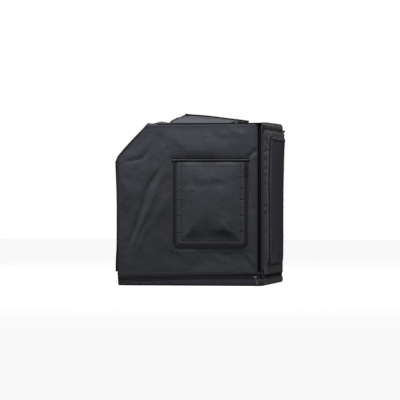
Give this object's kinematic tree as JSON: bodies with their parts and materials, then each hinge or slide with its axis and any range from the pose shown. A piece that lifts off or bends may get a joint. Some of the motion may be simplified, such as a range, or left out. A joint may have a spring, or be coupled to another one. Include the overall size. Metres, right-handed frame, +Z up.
{
  "type": "printer enclosure tent",
  "caption": "Black fabric tent over a tube frame, with a sloped viewing face, zipped door and side flaps, a top flap and a zipped base tray.",
  "frame": {"origin": "middle of the tray's underside, on the surface that the tent stands on", "axes": "+Z up, +X towards the face with the zipped door, -X towards the sloped viewing face, -Y towards the side with the visible zipped flap"},
  "size_m": [0.4689, 0.4624, 0.5353],
  "materials": {
    "cover_fabric": "black coated oxford weave, slightly baggy",
    "flap_fabric": "black coated oxford weave with sewn hems",
    "binding_tape": "black grosgrain binding",
    "hook_and_loop": "black hook and loop tape",
    "zipper_tape": "black woven zipper tape",
    "zipper_coil": "black nylon coil",
    "zipper_metal": "gunmetal plated zinc",
    "window_film": "smoked clear soft film",
    "frame_tube": "plated steel tube",
    "connector_plastic": "black moulded plastic",
    "stiffening_board": "dark grey hard board"
  },
  "bodies": {
    "base": {"base_tray": "cover_fabric", "base_board": "stiffening_board", "bottom_side_rails": "frame_tube", "bottom_cross_rails": "frame_tube", "front_uprights": "frame_tube", "rear_uprights": "frame_tube", "slope_rails": "frame_tube", "top_side_rails": "frame_tube", "upper_cross_rails": "frame_tube", "bottom_connectors": "connector_plastic", "bend_connectors": "connector_plastic", "slope_top_connectors": "connector_plastic", "rear_top_connectors": "connector_plastic", "base_zip_tape_tray": "zipper_tape", "base_zip_coil_tray": "zipper_coil"},
    "cover": {"near_side_panel": "cover_fabric", "far_side_panel": "cover_fabric", "top_panel": "cover_fabric", "slope_panel": "cover_fabric", "front_panel": "cover_fabric", "rear_surround": "cover_fabric", "slope_window": "window_film", "front_window": "window_film", "near_binding": "binding_tape", "far_binding": "binding_tape", "base_zip_tape_cover": "zipper_tape", "base_zip_coil_cover": "zipper_coil", "door_zip_frame": "zipper_tape", "near_flap_zip_frame": "zipper_tape", "far_flap_zip_frame": "zipper_tape", "curtain_seam": "binding_tape", "curtain_hook_patches": "hook_and_loop", "lid_hook_patches": "hook_and_loop"},
    "door": {"door_panel": "flap_fabric", "door_window": "window_film", "door_zip_leaf": "zipper_tape"},
    "near_flap": {"near_flap_panel": "flap_fabric", "near_flap_zip_leaf": "zipper_tape"},
    "far_flap": {"far_flap_panel": "flap_fabric", "far_flap_zip_leaf": "zipper_tape"},
    "lid": {"lid_panel": "flap_fabric", "lid_binding": "binding_tape", "lid_loop_patches": "hook_and_loop"},
    "curtain_top": {"curtain_upper": "flap_fabric"},
    "curtain_bottom": {"curtain_lower": "flap_fabric", "curtain_loop_patches": "hook_and_loop"},
    "base_side_slider": {"base_side_slider": "zipper_metal"},
    "base_side_pull": {"base_side_pull": "zipper_metal"},
    "base_rear_slider": {"base_rear_slider": "zipper_metal"},
    "base_rear_pull": {"base_rear_pull": "zipper_metal"},
    "door_slider": {"door_slider": "zipper_metal"},
    "door_pull": {"door_pull": "zipper_metal"},
    "near_flap_slider": {"near_flap_slider": "zipper_metal"},
    "near_flap_pull": {"near_flap_pull": "zipper_metal"},
    "far_flap_slider": {"far_flap_slider": "zipper_metal"},
    "far_flap_pull": {"far_flap_pull": "zipper_metal"}
  },
  "joints": [
    {"name": "cover_lift", "type": "slide", "parent": "base", "child": "cover", "axis": [0, 0, 1], "range_m": [0, 0.52]},
    {"name": "door_hinge", "type": "hinge", "parent": "cover", "child": "door", "pos_m": [0.225, 0.213, 0.2645], "axis": [0, 0, 1], "range_deg": [0, 120]},
    {"name": "near_flap_hinge", "type": "hinge", "parent": "cover", "child": "near_flap", "pos_m": [0.0655, -0.225, 0.383], "axis": [-1, 0, 0], "range_deg": [0, 120]},
    {"name": "far_flap_hinge", "type": "hinge", "parent": "cover", "child": "far_flap", "pos_m": [0.0655, 0.225, 0.383], "axis": [1, 0, 0], "range_deg": [0, 120]},
    {"name": "lid_hinge", "type": "hinge", "parent": "cover", "child": "lid", "pos_m": [0.034, -0.205, 0.5033], "axis": [1, 0, 0], "range_deg": [0, 150]},
    {"name": "curtain_top_hinge", "type": "hinge", "parent": "cover", "child": "curtain_top", "pos_m": [-0.13015, 0, 0.50231], "axis": [0, 1, 0], "range_deg": [0, 110]},
    {"name": "curtain_bend", "type": "hinge", "parent": "curtain_top", "child": "curtain_bottom", "pos_m": [-0.2289, 0, 0.38745], "axis": [0, 1, 0], "range_deg": [0, 120]},
    {"name": "base_side_zip", "type": "slide", "parent": "base", "child": "base_side_slider", "axis": [-1, 0, 0], "range_m": [0, 0.38]},
    {"name": "base_side_pull_swing", "type": "hinge", "parent": "base_side_slider", "child": "base_side_pull", "pos_m": [0.205, -0.225, 0.027], "axis": [0, -1, 0], "range_deg": [-85, 60]},
    {"name": "base_rear_zip", "type": "slide", "parent": "base", "child": "base_rear_slider", "axis": [0, 1, 0], "range_m": [0, 0.38]},
    {"name": "base_rear_pull_swing", "type": "hinge", "parent": "base_rear_slider", "child": "base_rear_pull", "pos_m": [0.225, -0.205, 0.027], "axis": [1, 0, 0], "range_deg": [-80, 80]},
    {"name": "door_zip", "type": "slide", "parent": "door", "child": "door_slider", "axis": [0, -1, 0], "range_m": [0, 0.36]},
    {"name": "door_pull_swing", "type": "hinge", "parent": "door_slider", "child": "door_pull", "pos_m": [0.225, 0.193, 0.483], "axis": [-1, 0, 0], "range_deg": [0, 90]},
    {"name": "near_flap_zip", "type": "slide", "parent": "near_flap", "child": "near_flap_slider", "axis": [0, 0, -1], "range_m": [0, 0.2]},
    {"name": "near_flap_pull_swing", "type": "hinge", "parent": "near_flap_slider", "child": "near_flap_pull", "pos_m": [0.177, -0.225, 0.363], "axis": [0, -1, 0], "range_deg": [-80, 80]},
    {"name": "far_flap_zip", "type": "slide", "parent": "far_flap", "child": "far_flap_slider", "axis": [0, 0, -1], "range_m": [0, 0.2]},
    {"name": "far_flap_pull_swing", "type": "hinge", "parent": "far_flap_slider", "child": "far_flap_pull", "pos_m": [0.177, 0.225, 0.363], "axis": [0, 1, 0], "range_deg": [-80, 80]}
  ]
}
